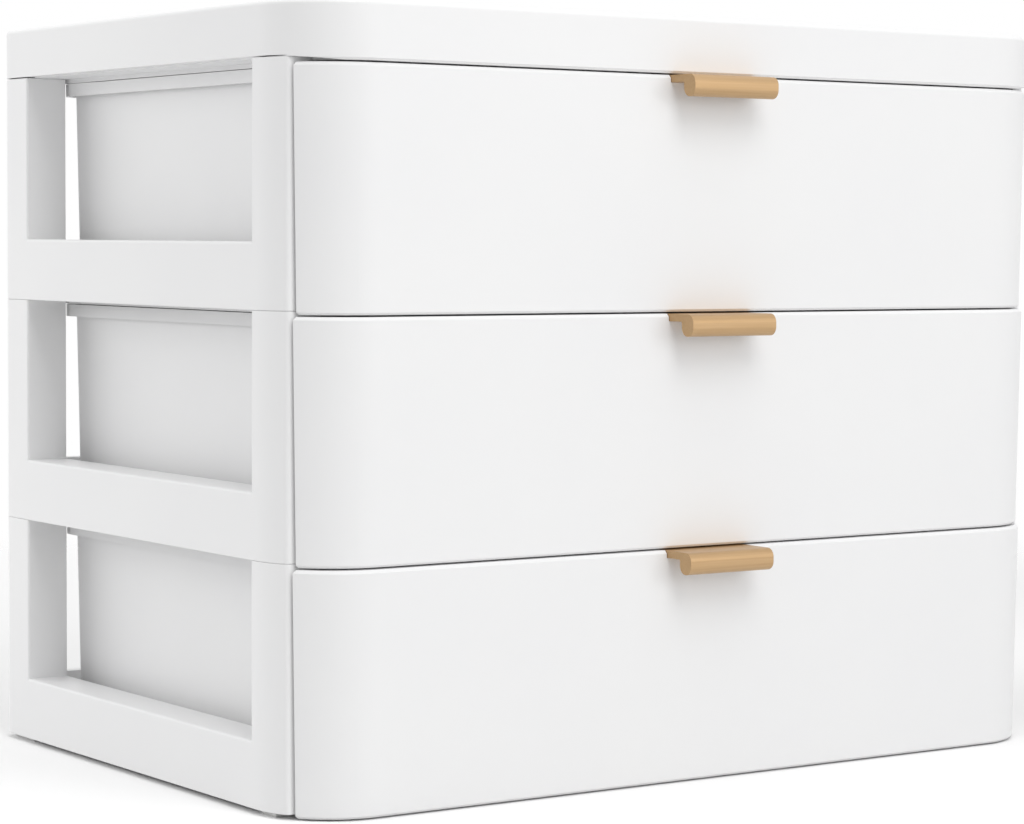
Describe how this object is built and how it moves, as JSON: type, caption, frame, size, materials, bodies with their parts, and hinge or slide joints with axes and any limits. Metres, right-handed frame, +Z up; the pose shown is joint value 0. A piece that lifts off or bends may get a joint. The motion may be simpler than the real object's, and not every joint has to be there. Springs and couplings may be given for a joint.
{
  "type": "desktop mini drawers",
  "caption": "Desktop drawer chest with open-sided stacked tiers, a rounded lid, curved wrap-round drawer fronts and hooked finger pulls.",
  "frame": {"origin": "centre of the base, under the middle of the bounding box, at the height the feet stand on", "axes": "+Z up; the drawers open towards -Y, so +X is on the right of someone who stands in front and looks along +Y"},
  "size_m": [0.28, 0.1994, 0.2255],
  "materials": {
    "case_plastic": "satin white",
    "drawer_plastic": "satin white",
    "handle_metal": "satin champagne gold",
    "screw_steel": "zinc plated",
    "foot_rubber": "soft white"
  },
  "bodies": {
    "case": {"tier_frame_lower": "case_plastic", "tier_frame_middle": "case_plastic", "tier_frame_upper": "case_plastic", "top_cover": "case_plastic", "foot_front_left": "foot_rubber", "foot_front_right": "foot_rubber", "foot_rear_left": "foot_rubber", "foot_rear_right": "foot_rubber"},
    "drawer_lower": {"drawer_lower_tub": "drawer_plastic", "drawer_lower_front": "drawer_plastic", "drawer_lower_handle": "handle_metal", "drawer_lower_screws": "screw_steel"},
    "drawer_middle": {"drawer_middle_tub": "drawer_plastic", "drawer_middle_front": "drawer_plastic", "drawer_middle_handle": "handle_metal", "drawer_middle_screws": "screw_steel"},
    "drawer_upper": {"drawer_upper_tub": "drawer_plastic", "drawer_upper_front": "drawer_plastic", "drawer_upper_handle": "handle_metal", "drawer_upper_screws": "screw_steel"}
  },
  "joints": [
    {"name": "drawer_lower_slide", "type": "slide", "parent": "case", "child": "drawer_lower", "axis": [0, -1, 0], "range_m": [0, 0.12]},
    {"name": "drawer_middle_slide", "type": "slide", "parent": "case", "child": "drawer_middle", "axis": [0, -1, 0], "range_m": [0, 0.12]},
    {"name": "drawer_upper_slide", "type": "slide", "parent": "case", "child": "drawer_upper", "axis": [0, -1, 0], "range_m": [0, 0.12]}
  ]
}
